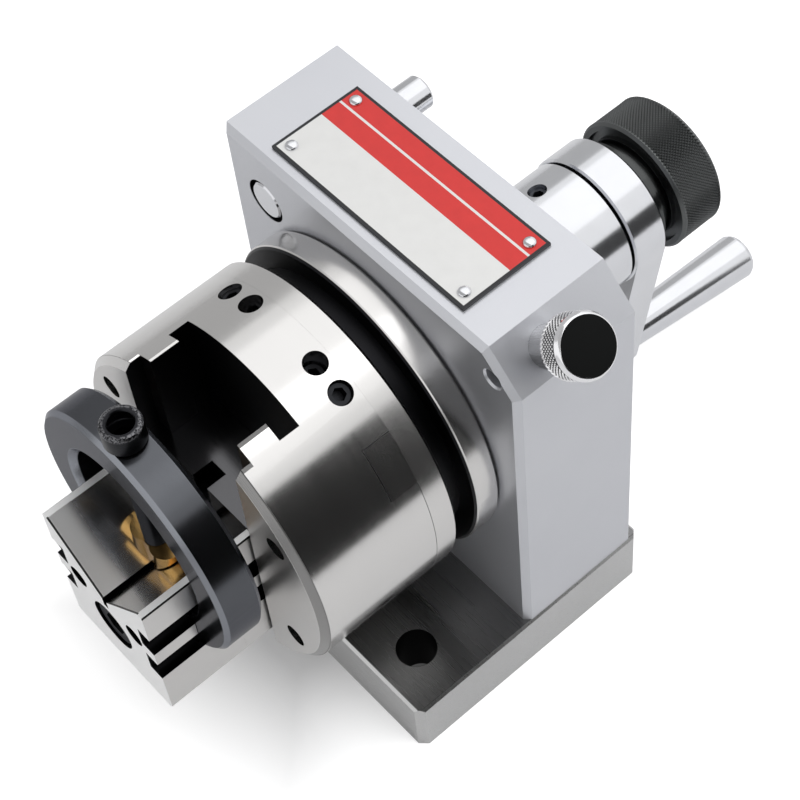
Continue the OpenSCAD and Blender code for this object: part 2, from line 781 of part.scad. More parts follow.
module slide_block() {
    c = slide_clearance;
    w = slot_wide / 2 - c;
    n = slot_neck / 2 - c;
    color(steel) difference() {
        translate([0, 0, slide_bottom]) linear_extrude(slide_height)
            polygon([[-w, slide_front], [w, slide_front], [w, recess_floor - c],
                [n, recess_floor - c], [n, tee_front + c], [w, tee_front + c],
                [w, tee_back - c], [-w, tee_back - c], [-w, tee_front + c],
                [-n, tee_front + c], [-n, recess_floor - c], [-w, recess_floor - c]]);
        translate([-notch_width / 2, slide_front - 1, slide_top - notch_down])
            cube([notch_width, notch_back + 1, notch_down + 1]);
        translate([0, slide_front + 2.8, slide_top - notch_down - 9])
            cylinder(r = 2, h = 10);
        translate([0, 0, vee_bolt_z]) rod_y(vee_bolt_r + seat_clearance, slide_front - 1, slide_front + 11);
        at_pair(dowel_spacing / 2) translate([0, 0, dowel_z])
            rod_y(3 + seat_clearance, slide_front - 1, slide_front + 8);
    }
}

module slide_screw() {
    color(black) translate([0, slide_front + 2.8, slide_top - notch_down - 8.6])
        set_screw(2 - seat_clearance, 8, 2);
}

// The V block's section in X and Z.
module vee_section() {
    w = vee_width / 2;
    v = vee_depth;
    s = relief_width / 2;
    difference() {
        polygon([[-w + vee_chamfer, vee_bottom], [w - vee_chamfer, vee_bottom],
            [w, vee_bottom + vee_chamfer], [w, vee_top], [v, vee_top], [s, vee_root + s],
            [s, vee_root - relief_depth], [-s, vee_root - relief_depth], [-s, vee_root + s],
            [-v, vee_top], [-w, vee_top], [-w, vee_bottom + vee_chamfer]]);
        for (side = [-1, 1], z = [upper_groove_z, lower_groove_z]) {
            translate([side * (w - side_groove_depth + groove_radius), z]) circle(r = groove_radius);
            translate([side * (w + 2) - 2 - side_groove_depth + groove_radius, z - groove_radius])
                square([4 + side_groove_depth - groove_radius, 2 * groove_radius]);
        }
    }
}

module v_block_front() {
    neck_r = ring_bore / 2 - 0.1;
    rim_r = ring_diameter / 2 + 0.12;
    color(ground) difference() {
        upright(vee_front, vee_rear_front) vee_section();
        translate([0, 0, ring_z]) turned([[neck_r, vee_front_back], [rim_r, vee_front_back],
            [rim_r, vee_rear_front + 1], [neck_r, vee_rear_front + 1]]);
        translate([0, 0, vee_bolt_z]) {
            rod_y(vee_bolt_r + 0.2, vee_front - 1, vee_rear_front + 1);
            rod_y(vee_bolt_counterbore / 2, vee_front - 1, vee_bolt_head);
        }
        at_pair(dowel_spacing / 2) translate([0, 0, dowel_z])
            rod_y(3 + seat_clearance, vee_front - 1, vee_rear_front + 1);
    }
}

module v_block_rear() {
    color(ground) difference() {
        upright(vee_rear_front + 0.02, vee_rear_back) vee_section();
        translate([0, 0, vee_bolt_z]) rod_y(vee_bolt_r + 0.2, vee_rear_front - 1, vee_rear_back + 1);
        at_pair(dowel_spacing / 2) translate([0, 0, dowel_z])
            rod_y(3 + seat_clearance, vee_rear_front - 1, vee_rear_back + 1);
    }
}

module v_block_bolt() {
    color(black) translate([0, vee_bolt_head, vee_bolt_z]) rotate([90, 0, 0])
        cap_screw(vee_bolt_r, slide_front + 9.5 - vee_bolt_head, vee_bolt_diameter * 0.8125,
            vee_bolt_diameter, vee_bolt_diameter * 0.75);
}

module v_block_dowels() {
    color(steel) at_pair(dowel_spacing / 2) translate([0, 0, dowel_z])
        turned([[0, vee_front + 3.5], [2.6, vee_front + 3.5], [3, vee_front + 3.9],
            [3, slide_front + 7.5], [0, slide_front + 7.5]]);
}

module clamp_ring() {
    r = ring_diameter / 2;
    b = ring_bore / 2;
    e = ring_bevel;
    c = ring_bore_bevel;
    f = ring_y - ring_thickness / 2;
    g = ring_y + ring_thickness / 2;
    color(black) difference() {
        translate([0, 0, ring_z]) turned([[b + c, f], [r - e, f], [r, f + e], [r, g - e],
            [r - e, g], [b + c, g], [b, g - c], [b, f + c]]);
        translate([0, ring_y, ring_z]) cylinder(r = clamp_r + running_clearance, h = r + 2);
        translate([0, 0, vee_bolt_z]) rod_y(vee_bolt_r + 0.2, f - 1, g + 1);
        at_pair(dowel_spacing / 2) translate([0, 0, dowel_z])
            rod_y(3 + seat_clearance, f - 1, g + 1);
    }
}

// Clamp screw and its pad

module clamp_screw() {
    color(black) translate([0, ring_y, clamp_head_z])
        cap_screw(clamp_r, clamp_head_z - pad_top + 3, clamp_head_diameter / 2,
            clamp_head_height, 5);
}

module brass_pad() {
    gap = 0.45;
    low = vee_root + gap;
    reach = pad_spread / 2 + pad_radius + 1;
    color(brass) difference() {
        intersection() {
            union() {
                at_pair(pad_spread / 2) translate([0, ring_y, vee_root])
                    cylinder(r = pad_radius, h = pad_top - vee_root);
                translate([-pad_spread / 2, ring_y - pad_radius * 0.8, vee_root])
                    cube([pad_spread, pad_radius * 1.6, pad_top - vee_root]);
            }
            upright(ring_y - pad_radius - 1, ring_y + pad_radius + 1)
                polygon([[0, low], [reach, low + reach], [reach, pad_top + 1],
                    [-reach, pad_top + 1], [-reach, low + reach]]);
        }
        translate([0, ring_y, pad_top - 3.2]) cylinder(r = clamp_r + running_clearance, h = 4);
    }
}

// Lock

module on_arm() {
    translate([0, 0, centre_height]) rotate([0, -arm_angle, 0]) children();
}

module on_handle() {
    on_arm() translate([0, lock_back, -arm_length]) rotate([-handle_tilt, 0, 0]) children();
}

module lock_ring() {
    r = lock_ring_diameter / 2;
    e = arm_end_radius;
    color(chrome) difference() {
        on_arm() union() {
            turned([[0, lock_front], [r - 0.5, lock_front], [r, lock_front + 0.5],
                [r, lock_back - 0.6], [r - 0.6, lock_back], [0, lock_back]]);
            upright(lock_front + 0.3, lock_back - 0.3)
                polygon([[-r * taper_cos, -r * taper_sin], [r * taper_cos, -r * taper_sin],
                    [e * taper_cos, -arm_length - e * taper_sin],
                    [-e * taper_cos, -arm_length - e * taper_sin]]);
            translate([0, 0, -arm_length]) rod_y(e, lock_front + 0.3, lock_back - 0.3);
        }
        on_centre() rod_y(tail_r + running_clearance, lock_front - 1, lock_back + 1);
        on_handle() rod_y(4 + seat_clearance, -30, 10);
    }
}

module lever_handle() {
    a = handle_root_diameter / 2;
    b = handle_end_diameter / 2;
    n = handle_length;
    color(chrome) on_handle()
        turned([[0, -9.5], [4, -9.5], [4, 0.5], [a - 0.4, 0.6], [a, 1.1], [b, n - 1.6],
            [b - 0.5, n - 0.5], [b - 1.6, n], [0, n]]);
}

base_plate();
headstock();
headstock_bolts();
base_dowels();
name_plate();
plate_rivets();
front_bush();
rear_bush();
rear_sleeve();
sleeve_screw();
through_pin();
plunger_grub();
plunger_sleeve();
plunger_spring();
plunger_pin();
plunger_knob();
plunger_cap();
spindle();
index_ring();
faceplate();
nose_screw();
chuck_body();
chuck_screws();
chuck_set_screws();
side_key();
knob_hub();
turning_knob();
knob_screw();
slide_block();
slide_screw();
v_block_front();
v_block_rear();
v_block_bolt();
v_block_dowels();
clamp_ring();
clamp_screw();
brass_pad();
lock_ring();
lever_handle();
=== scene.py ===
import json
import math

import bmesh
import bpy
from mathutils import Matrix, Vector


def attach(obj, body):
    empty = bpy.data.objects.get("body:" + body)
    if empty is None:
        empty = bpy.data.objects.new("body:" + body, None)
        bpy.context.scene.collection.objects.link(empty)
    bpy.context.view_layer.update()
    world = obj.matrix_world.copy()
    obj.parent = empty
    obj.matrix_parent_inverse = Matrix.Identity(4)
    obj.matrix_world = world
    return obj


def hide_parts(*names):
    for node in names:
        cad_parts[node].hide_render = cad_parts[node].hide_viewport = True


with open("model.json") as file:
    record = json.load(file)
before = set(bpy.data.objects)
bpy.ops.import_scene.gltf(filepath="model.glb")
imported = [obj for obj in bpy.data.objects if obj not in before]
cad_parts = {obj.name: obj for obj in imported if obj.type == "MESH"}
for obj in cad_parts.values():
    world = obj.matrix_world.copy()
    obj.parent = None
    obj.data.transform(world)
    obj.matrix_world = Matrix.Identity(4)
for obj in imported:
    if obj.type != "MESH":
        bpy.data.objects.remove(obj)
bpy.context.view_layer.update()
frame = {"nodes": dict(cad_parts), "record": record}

# Sizes of the fixture, in millimetres unless a name says otherwise. The spindle's line is X = 0,
# the table is Z = 0, and Y runs to the rear.

MM = 0.001
CENTRE_HEIGHT = 75.0
BLOCK_FRONT = -1.0

BASE_TOP = 18.5
HOLD_DOWN_X = 36.0
HOLD_DOWN_Y = -26.0
HOLD_DOWN_RADIUS = 5.25

PIN_X = -36.6
PIN_Z = 110.3
PIN_RADIUS = 6.0
PIN_HOLE_DEPTH = 40.0

PLATE_TOP = 127.3
PLATE_LEFT = 3.3
PLATE_MIDDLE_Y = BLOCK_FRONT + 16.9
PLATE_HALF_LENGTH = 32.7
PLATE_HALF_WIDTH = 13.0
PLATE_BORDER = 0.75
RED_FIELD_START = 1.4
WHITE_LINE = 7.1
WHITE_LINE_HALF = 0.32
RIVET_INSET = 3.3

GROOVE_FRONT = -14.75
GROOVE_BACK = -8.75
GROOVE_MOUTH = 42.72
SEAM = -21.25
CHUCK_RADIUS = 43.25
CHUCK_FRONT = -55.35
CHUCK_BEVEL = 1.8
KEY_FRONT = -28.9
KEY_HALF = 7.05
KEY_ANGLE = math.radians(53.5)
HAIRLINE_HALF = 0.10

SLOT_BACK = -37.15
SLOT_HALF = 19.7
NECK_HALF = 15.3
NECK_FRONT = -50.75
NECK_BACK = -42.75
SLOT_EDGE_WIDTH = 0.9
SLOT_EDGE_DROP = 1.4

VEE_FRONT = -85.7
VEE_HALF = 18.7
VEE_TOP = 86.5
VEE_ROOT = 69.5
VEE_MOUTH_HALF = 17.2
VEE_LIGHT_LENGTH = 6.2
RELIEF_HALF = 0.85
RELIEF_FOOT = 67.5
RELIEF_TOP = 71.0
SIDE_GROOVES = ((69.15, 76.05), (57.75, 64.65))
SIDE_GROOVE_FLOOR = 14.3
VEE_BOLT_Z = 58.6
VEE_BOLT_RADIUS = 7.0
DOWEL_X = 10.7
DOWEL_Z = 67.9
DOWEL_RADIUS = 3.4

RING_Y = -68.4
RING_Z = 86.6
RING_RADIUS = 33.4
RING_BORE = 22.0
RING_FRONT = -73.8
RING_BACK = -63.0
RING_BORE_BEVEL = 1.6
RING_RIM_BEVEL = 1.0

CLAMP_HEAD_Z = 120.3
CLAMP_HEAD_RADIUS = 5.0
CLAMP_HEAD_HEIGHT = 6.0
SOCKET_CORNER = 2.89
THREAD_FOOT = -42.0
THREAD_PITCH = 1.0
THREAD_TURNS = 28
THREAD_ROOT = 2.62
THREAD_CREST = 2.98

# A knurl is its lower end, its upper end and its rows. The pull knob's foot is a distance from the
# spindle's line, along the line that the knob slides on.

PULL_LINE_Y = 12.5
PULL_FOOT = 76.7
PULL_RADIUS = 7.6
PULL_SKIRT_BORE = 5.5
PULL_PIN_BORE = 2.02
PULL_KNURL = (-1.8, 4.2, 10)
PULL_COLUMNS = 96
PULL_KNURL_DEPTH = 0.42
KNOB_FRONT = 84.0
KNOB_RADIUS = 18.7
KNOB_BORE = 8.02
KNOB_KNURL = (0.7, 12.9, 24)
KNOB_COLUMNS = 236
KNOB_KNURL_DEPTH = 0.32

# Tones that several finishes share, and the rays that show the room and the floor to the camera

BRIGHT_STEEL = (0.72, 0.71, 0.70)
# The near-black that holes, grooves, edges and knurl valleys get as painted shade.
SHADE_BLACK = (0.010, 0.010, 0.011)
SEEN_RAYS = ("Camera", "Glossy", "Transmission")

# The photograph's camera and the shape of its frame, and the point that the lamps face

IMAGE_PIXELS = 800
SENSOR_WIDTH = 36.0
FOCAL_PIXELS = 2153.35
CAMERA_PLACE = Vector((246.53, -170.42, 499.1))
CAMERA_TARGET = Vector((7.24, -1.0, 73.3))
CAMERA_ROLL = math.radians(-7.29)
LAMP_TARGET = Vector((0.0, 0.0, 60.0))

body_of_node = {
    node: body for body, nodes in frame["record"]["behaviour"]["bodies"].items() for node in nodes
}
slot_of_node = {part["node"]: part["material_slot"] for part in frame["record"]["subparts"]}


# Material tools


class Value:
    """A number inside a material. Python's operators on it add Math nodes."""

    def __init__(self, finish, socket):
        self.finish = finish
        self.socket = socket

    def maths(self, operation, *terms):
        settings = {"operation": operation}
        return self.finish.node("ShaderNodeMath", settings, dict(enumerate(terms)))["Value"]

    def __add__(self, other):
        return self.maths("ADD", self, other)

    def __radd__(self, other):
        return self.maths("ADD", other, self)

    def __sub__(self, other):
        return self.maths("SUBTRACT", self, other)

    def __rsub__(self, other):
        return self.maths("SUBTRACT", other, self)

    def __mul__(self, other):
        return self.maths("MULTIPLY", self, other)

    def __rmul__(self, other):
        return self.maths("MULTIPLY", other, self)

    def __abs__(self):
        return self.maths("ABSOLUTE", self)

    def root(self):
        return self.maths("SQRT", self)

    def largest(self, other):
        return self.maths("MAXIMUM", self, other)

    def smallest(self, other):
        return self.maths("MINIMUM", self, other)

    def ramp(self, start, end):
        """Runs in a straight line from 0 at the start to 1 at the end, and stays there."""
        sockets = {"Value": self, "From Min": start, "From Max": end}
        return self.finish.node("ShaderNodeMapRange", {}, sockets)["Result"]

    def above(self, edge, softness=0.05):
        """Rises from 0 to 1 as the value passes an edge."""
        settings = {"interpolation_type": "SMOOTHSTEP"}
        sockets = {"Value": self, "From Min": edge - softness, "From Max": edge + softness}
        return self.finish.node("ShaderNodeMapRange", settings, sockets)["Result"]

    def below(self, edge, softness=0.05):
        return 1.0 - self.above(edge, softness)

    def within(self, low, high, softness=0.05):
        return self.above(low, softness) * self.below(high, softness)


def distance(first, second):
    """The length of a line whose two legs are given."""
    return (first * first + second * second).root()


class Outputs:
    """A node's outputs by name."""

    def __init__(self, finish, node):
        self.finish = finish
        self.node = node

    def __getitem__(self, name):
        return Value(self.finish, find_socket(self.node.outputs, name))


def find_socket(sockets, name):
    """A socket by number, by identifier where several share a name, or by name."""
    if isinstance(name, int):
        return sockets[name]
    for socket in sockets:
        if socket.identifier == name:
            return socket
    return sockets[name]


class Finish:
    """One material, or the node tree that is given in its place."""

    def __init__(self, name, tree=None):
        if tree is None:
            self.material = bpy.data.materials.new(name)
            self.material.use_nodes = True
            tree = self.material.node_tree
            self.shader = tree.nodes["Principled BSDF"]
        self.tree = tree

    def node(self, kind, settings=None, inputs=None):
        """Adds a node, sets its settings and then its sockets, by value or by link."""
        node = self.tree.nodes.new(kind)
        for name, setting in (settings or {}).items():
            setattr(node, name, setting)
        for name, value in (inputs or {}).items():
            self.feed(find_socket(node.inputs, name), value)
        return Outputs(self, node)

    def feed(self, socket, value):
        if isinstance(value, Value):
            self.tree.links.new(value.socket, socket)
        elif isinstance(value, tuple) and socket.type == "RGBA":
            socket.default_value = (*value, 1.0)
        else:
            socket.default_value = value

    def place(self):
        """X, Y and Z on the piece, in millimetres."""
        position = self.node("ShaderNodeTexCoord")["Object"]
        parts = self.node("ShaderNodeSeparateXYZ", {}, {"Vector": position})
        return tuple(parts[axis] * 1000.0 for axis in "XYZ")

    def noise(self, x, y, z, detail=2.0):
        """Noise from 0 to 1. A factor on a coordinate is its number of grains to a millimetre."""
        point = self.node("ShaderNodeCombineXYZ", {}, {"X": x, "Y": y, "Z": z})["Vector"]
        sockets = {"Vector": point, "Scale": 1.0, "Detail": detail}
        return self.node("ShaderNodeTexNoise", {}, sockets)["Fac"]

    def blend(self, factor, first, second):
        sockets = {"Factor_Float": factor, "A_Color": first, "B_Color": second}
        return self.node("ShaderNodeMix", {"data_type": "RGBA"}, sockets)["Result_Color"]

    def on_rays(self, first_kind, *other_kinds):
        """1 where the light path is a ray of one of the given kinds."""
        path = self.node("ShaderNodeLightPath")
        share = path[f"Is {first_kind} Ray"]
        for kind in other_kinds:
            share = share.largest(path[f"Is {kind} Ray"])
        return share

    def surface(self, **inputs):
        for name, value in inputs.items():
            self.feed(self.shader.inputs[name.replace("_", " ")], value)

    def relief(self, height, depth_mm=1.0):
        """Bumps the surface by a height, which is a share of the given millimetres."""
        sockets = {"Height": height, "Distance": depth_mm * MM, "Strength": 1.0}
        self.feed(self.shader.inputs["Normal"], self.node("ShaderNodeBump", {}, sockets)["Normal"])


def scaled(tone, factor):
    return tuple(factor * part for part in tone)


# Finishes


def silver_enamel():
    """Satin silver-grey paint with a fine grain and a faint drift of tone, and painted shade in the
    pin's hole.
    """
    finish = Finish("silver_enamel")
    x, y, z = finish.place()
    drift = finish.noise(x * 0.03, y * 0.03, z * 0.03, 3.0)
    grain = finish.noise(x * 2.2, y * 2.2, z * 2.2, 3.0)
    colour = finish.blend(drift, (0.60, 0.61, 0.65), (0.66, 0.67, 0.70))
    # Painted shade inside the pin's hole.
    pin_hole_shade = distance(x - PIN_X, z - PIN_Z).below(PIN_RADIUS + 0.03, 0.03)
    pin_hole_shade = pin_hole_shade * y.within(BLOCK_FRONT + 0.15, BLOCK_FRONT + PIN_HOLE_DEPTH, 0.1)
    colour = finish.blend(pin_hole_shade, colour, (0.02, 0.02, 0.022))
    finish.surface(Base_Color=colour, Metallic=0.75, Roughness=0.28 + grain * 0.14)
    finish.relief(grain, 0.010)
    return finish.material


def turned_steel(name, dark_mask, roughness=0.11, edge_break=None):
    """Steel ground while it turned: fine rings round the spindle's line, a rougher front face, and near
    black over the dark mask, which holds painted shade and, on the chuck, dark hairlines.
    """
    finish = Finish(name)
    x, y, z = finish.place()
    z = z - CENTRE_HEIGHT
    radius = distance(x, z)
    fine = finish.noise(y * 9.0, radius * 9.0, (x + z) * 0.05, 2.0)
    broad = finish.noise(y * 0.5, radius * 0.5, (x - z) * 0.012, 2.0)
    cloud = finish.noise(x * 0.05, y * 0.05, z * 0.05, 3.0)
    dark = dark_mask(x, y, z, radius)
    colour = finish.blend(fine * 0.4 + cloud * 0.6, scaled(BRIGHT_STEEL, 0.90), BRIGHT_STEEL)
    # Painted shade: the dark mask's places turn near black (on the chuck this also draws its dark
    # hairlines).
    colour = finish.blend(dark, colour, (0.018, 0.018, 0.020))
    front_face = y.below(CHUCK_FRONT + 0.05, 0.03)
    rough = roughness + fine * 0.06 + broad * 0.05 + front_face * 0.2 + dark * 0.2
    finish.surface(Base_Color=colour, Metallic=1.0, Roughness=rough)
    height = fine * 0.0014 + broad * 0.0015
    if edge_break:
        height = height + edge_break(x, y, radius)
    finish.relief(height)
    return finish.material


def groove_shade(x, y, z, radius):
    """Painted shade in the groove between the faceplate's two rims and over most of the bevel behind
    it.
    """
    return y.within(GROOVE_FRONT - 0.02, GROOVE_BACK + 0.5, 0.03) * radius.below(GROOVE_MOUTH, 0.05)


def chuck_shade_and_hairlines(x, y, z, radius):
    """The chuck's dark places: painted shade on the slot walls and the bevel's right side, and dark
    hairlines of key and seam.
    """
    # Painted shade on the slot's walls.
    walls = abs(x).below(SLOT_HALF + 0.05, 0.03) * y.within(CHUCK_FRONT + 0.05, SLOT_BACK + 0.1, 0.04)
    walls = walls * radius.below(CHUCK_RADIUS - 0.2, 0.1)
    # Painted shade on the right side of the front bevel.
    bevel = y.below(CHUCK_FRONT + CHUCK_BEVEL + 0.05, 0.03)
    bevel = bevel * radius.above(CHUCK_RADIUS - CHUCK_BEVEL + 0.05, 0.03) * x.above(17.0, 4.0) * 0.6
    across_key = x * math.cos(KEY_ANGLE) - z * math.sin(KEY_ANGLE)
    key_side = x * math.sin(KEY_ANGLE) + z * math.cos(KEY_ANGLE)
    key_end = abs(y - KEY_FRONT).below(HAIRLINE_HALF, 0.03) * abs(across_key).below(KEY_HALF, 0.05)
    key_edge = abs(across_key + KEY_HALF).below(HAIRLINE_HALF, 0.03) * y.above(KEY_FRONT, 0.05)
    seam = y.above(SEAM - 0.16, 0.03) * across_key.above(KEY_HALF, 0.1)
    hairlines = key_end.largest(key_edge).largest(seam) * key_side.above(10.0, 0.5) * 0.85
    return walls.largest(bevel).largest(hairlines)


def slot_edges(x, y, radius):
    """The broken edges of the cross slot's mouth and neck: a height that falls to 0 at each edge."""
    mouth = abs(x).ramp(SLOT_HALF, SLOT_HALF + SLOT_EDGE_WIDTH)
    mouth = mouth.largest(y.above(NECK_FRONT - 0.05, 0.02))
    neck = abs(x).ramp(NECK_HALF, NECK_HALF + SLOT_EDGE_WIDTH)
    neck = neck.largest(y.above(NECK_BACK, 0.02)).largest(y.below(NECK_FRONT, 0.02))
    return mouth.smallest(neck) * radius.above(CHUCK_RADIUS - 0.1, 0.05) * SLOT_EDGE_DROP


def ground_steel(name, tone, roughness=0.22, dark_mask=None, shaded_face=None):
    """Flat steel, ground along X, with painted shade on a given face and in given holes."""
    finish = Finish(name)
    x, y, z = finish.place()
    fine = finish.noise(x * 0.05, y * 4.5, z * 4.5, 3.0)
    cloud = finish.noise(x * 0.04, y * 0.04, z * 0.04, 3.0)
    colour = finish.blend(fine * 0.4 + cloud * 0.6, scaled(tone, 0.84), tone)
    rough = roughness + fine * 0.14
    if shaded_face:
        # Painted shade: the given face is darkened to 0.4 of the tone.
        colour = finish.blend(shaded_face(z), colour, scaled(tone, 0.4))
    # Painted shade: the dark mask's holes turn near black.
    if dark_mask:
        dark = dark_mask(x, y)
        colour = finish.blend(dark, colour, SHADE_BLACK)
        rough = rough + dark * 0.2
    finish.surface(Base_Color=colour, Metallic=1.0, Roughness=rough)
    finish.relief(fine, 0.002)
    return finish.material


def hold_down_hole_shade(x, y):
    """Painted shade inside the base plate's two hold-down holes."""
    return distance(abs(x) - HOLD_DOWN_X, y - HOLD_DOWN_Y).below(HOLD_DOWN_RADIUS + 0.06, 0.03)


def base_top_shade(z):
    """The base plate's upper face, which gets painted shade."""
    return z.above(BASE_TOP - 0.1, 0.02)


def vee_block_steel():
    """The V block: ground sides, polished flanks, painted light on the front, lands and left flank,
    painted shade in grooves, holes and along edges.
    """
    finish = Finish("vee_steel")
    x, y, z = finish.place()
    fine = finish.noise(x * 4.5, y * 0.05, z * 4.5, 3.0)
    cloud = finish.noise(x * 0.04, y * 0.04, z * 0.04, 3.0)
    sides = abs(x).above(VEE_HALF - 0.04, 0.02)
    above_root = z.above(VEE_ROOT, 0.3)

    # Painted light: the front, the lands and the front of the left flank are lightened near white.
    lands = z.above(VEE_TOP - 0.1, 0.03)
    front = y.below(VEE_FRONT + 0.02, 0.02)
    lit_left_flank = y.below(VEE_FRONT + VEE_LIGHT_LENGTH, 2.2) * x.below(-RELIEF_HALF, 0.03) * above_root
    bright = lands.largest(front).largest(lit_left_flank)

    # Painted shade: the side grooves, the relief slot, the edges and the holes are turned near black.
    upper, lower = (z.within(low, high, 0.03) for low, high in SIDE_GROOVES)
    grooves = upper.largest(lower) * abs(x).within(SIDE_GROOVE_FLOOR, VEE_HALF - 0.04, 0.03)
    relief = abs(x).below(RELIEF_HALF, 0.03) * z.within(RELIEF_FOOT, RELIEF_TOP, 0.05)
    land_edge = sides * z.above(VEE_TOP - 0.9, 0.08)
    front_edge = y.within(VEE_FRONT + 0.02, VEE_FRONT + 0.5, 0.02) * above_root
    front_edge = front_edge * abs(x).below(VEE_MOUTH_HALF, 0.1)
    bolt_hole = distance(x, z - VEE_BOLT_Z).below(VEE_BOLT_RADIUS + 0.05, 0.03)
    dowel_holes = distance(abs(x) - DOWEL_X, z - DOWEL_Z).below(DOWEL_RADIUS + 0.05, 0.03)
    holes = bolt_hole.largest(dowel_holes) * y.above(VEE_FRONT + 0.06, 0.03)
    dark = grooves.largest(relief).largest(land_edge).largest(front_edge * 0.9).largest(holes)

    colour = finish.blend(fine * 0.4 + cloud * 0.6, (0.61, 0.60, 0.59), BRIGHT_STEEL)
    colour = finish.blend(bright, colour, (0.97, 0.97, 0.97))
    colour = finish.blend(dark, colour, SHADE_BLACK)
    rough = 0.12 + fine * 0.10 + bright * 0.42 + sides * 0.22 + dark * 0.2
    finish.surface(Base_Color=colour, Metallic=1.0, Roughness=rough)
    finish.relief(fine, 0.0015)
    return finish.material


def polished_steel(name, tone, roughness):
    """Polished or plated steel with the faint rings of its turning."""
    finish = Finish(name)
    x, y, z = finish.place()
    rings = finish.noise(x * 0.15, y * 3.5, z * 0.15, 2.0)
    smear = finish.noise(x * 0.12, y * 0.12, z * 0.12, 3.0)
    colour = finish.blend(smear, scaled(tone, 0.9), tone)
    finish.surface(Base_Color=colour, Metallic=1.0, Roughness=roughness + rings * 0.07 + smear * 0.04)
    finish.relief(rings, 0.003)
    return finish.material


def ring_bevel_highlight(x, y, z):
    """The clamp ring's bevels, lightened as a painted highlight, least on the front of the rim."""
    radius = distance(x, z - RING_Z)
    bore = radius.within(RING_BORE + 0.1, RING_BORE + RING_BORE_BEVEL + 0.1, 0.1)
    bore = bore * y.below(RING_FRONT + RING_BORE_BEVEL + 0.05, 0.05)
    rim = radius.above(RING_RADIUS - RING_RIM_BEVEL - 0.1, 0.1)
    front = rim * y.below(RING_FRONT + RING_RIM_BEVEL + 0.1, 0.1) * 0.55
    back = rim * y.above(RING_BACK - RING_RIM_BEVEL - 0.1, 0.1) * 0.7
    return bore.largest(front).largest(back)


def blackened_steel(name, tone, roughness=0.3, blue=1.1, painted_edge_light=None):
    """Black oxide, a thin film in which the steel's tooling shows."""
    finish = Finish(name)
    x, y, z = finish.place()
    cloud = finish.noise(x * 0.07, y * 0.07, z * 0.07, 4.0)
    tooling = finish.noise(x * 0.4, y * 4.0, z * 0.4, 2.0)
    dark = (tone * 0.75, tone * 0.78, tone * 0.78 * blue)
    light = (tone * 1.1, tone * 1.15, tone * 1.15 * blue)
    colour = finish.blend(cloud * 0.8 + tooling * 0.2, dark, light)
    # Painted highlight: the given edges are lightened to three times the light tone.
    if painted_edge_light:
        colour = finish.blend(painted_edge_light(x, y, z), colour, scaled(light, 3.0))
    finish.surface(Base_Color=colour, Metallic=1.0, Roughness=roughness + tooling * 0.08 + cloud * 0.06)
    finish.surface(Specular_Tint=(0.62, 0.62, 0.64))
    finish.relief(tooling, 0.003)
    return finish.material


def worn_black():
    """The clamp screw's black oxide, with specks of wear on the head's rim and a painted glint in the
    socket.
    """
    finish = Finish("worn_black")
    x, y, z = finish.place()
    y = y - RING_Y
    radius = distance(x, y)
    specks = finish.noise(x * 2.6, y * 2.6, z * 2.6, 3.0)
    rim = radius.above(CLAMP_HEAD_RADIUS - 1.1, 0.3)
    rim = rim * z.above(CLAMP_HEAD_Z + CLAMP_HEAD_HEIGHT - 0.8, 0.4) * specks.above(0.50, 0.10)
    # Painted highlight: a glint lightens the foot of the hexagon socket.
    socket_glint = radius.below(0.9, 0.3) * z.within(CLAMP_HEAD_Z + 2.9, CLAMP_HEAD_Z + 3.8, 0.2)
    colour = finish.blend(specks, (0.016, 0.016, 0.018), (0.035, 0.036, 0.040))
    colour = finish.blend((rim * 0.45).largest(socket_glint), colour, (0.42, 0.42, 0.44))
    finish.surface(Base_Color=colour, Metallic=1.0, Roughness=0.24 + specks * 0.14)
    finish.relief(specks, 0.01)
    return finish.material


def knurled_chrome():
    """The pull knob's plated steel, with painted shade down in its knurl."""
    finish = Finish("knurled_chrome")
    x, y, z = finish.place()
    along = (x + (z - CENTRE_HEIGHT)) * math.sqrt(0.5)
    across = (x - (z - CENTRE_HEIGHT)) * math.sqrt(0.5)
    radius = distance(across, y - PULL_LINE_Y)
    smear = finish.noise(x * 0.8, y * 0.8, z * 0.8, 3.0)
    low, high = PULL_KNURL[:2]
    in_knurl = along.within(PULL_FOOT + low + 0.1, PULL_FOOT + high + 0.1, 0.05)
    # Painted shade: the knurl's valleys are turned near black.
    valley_shade = radius.below(PULL_RADIUS - 0.26, 0.08) * in_knurl
    colour = finish.blend(smear, (0.84, 0.84, 0.86), (0.94, 0.94, 0.96))
    colour = finish.blend(valley_shade, colour, SHADE_BLACK)
    finish.surface(Base_Color=colour, Metallic=1.0, Roughness=0.12 + smear * 0.08)
    finish.relief(smear, 0.003)
    return finish.material


def brass():
    """Bright machined brass."""
    finish = Finish("brass")
    x, y, z = finish.place()
    cloud = finish.noise(x * 0.3, y * 0.3, z * 0.3, 3.0)
    tooling = finish.noise(x * 0.5, y * 0.5, z * 6.0, 2.0)
    colour = finish.blend(cloud, (0.78, 0.44, 0.13), (0.93, 0.62, 0.24))
    finish.surface(Base_Color=colour, Metallic=1.0, Roughness=0.16 + tooling * 0.12)
    finish.relief(tooling, 0.006)
    return finish.material


def bearing_bronze():
    """Bored bronze, darker than the brass."""
    finish = Finish("bearing_bronze")
    x, y, z = finish.place()
    rings = finish.noise(x * 0.2, y * 4.0, z * 0.2, 2.0)
    colour = finish.blend(rings, (0.40, 0.25, 0.10), (0.55, 0.36, 0.17))
    finish.surface(Base_Color=colour, Metallic=1.0, Roughness=0.3 + rings * 0.1)
    finish.relief(rings, 0.004)
    return finish.material


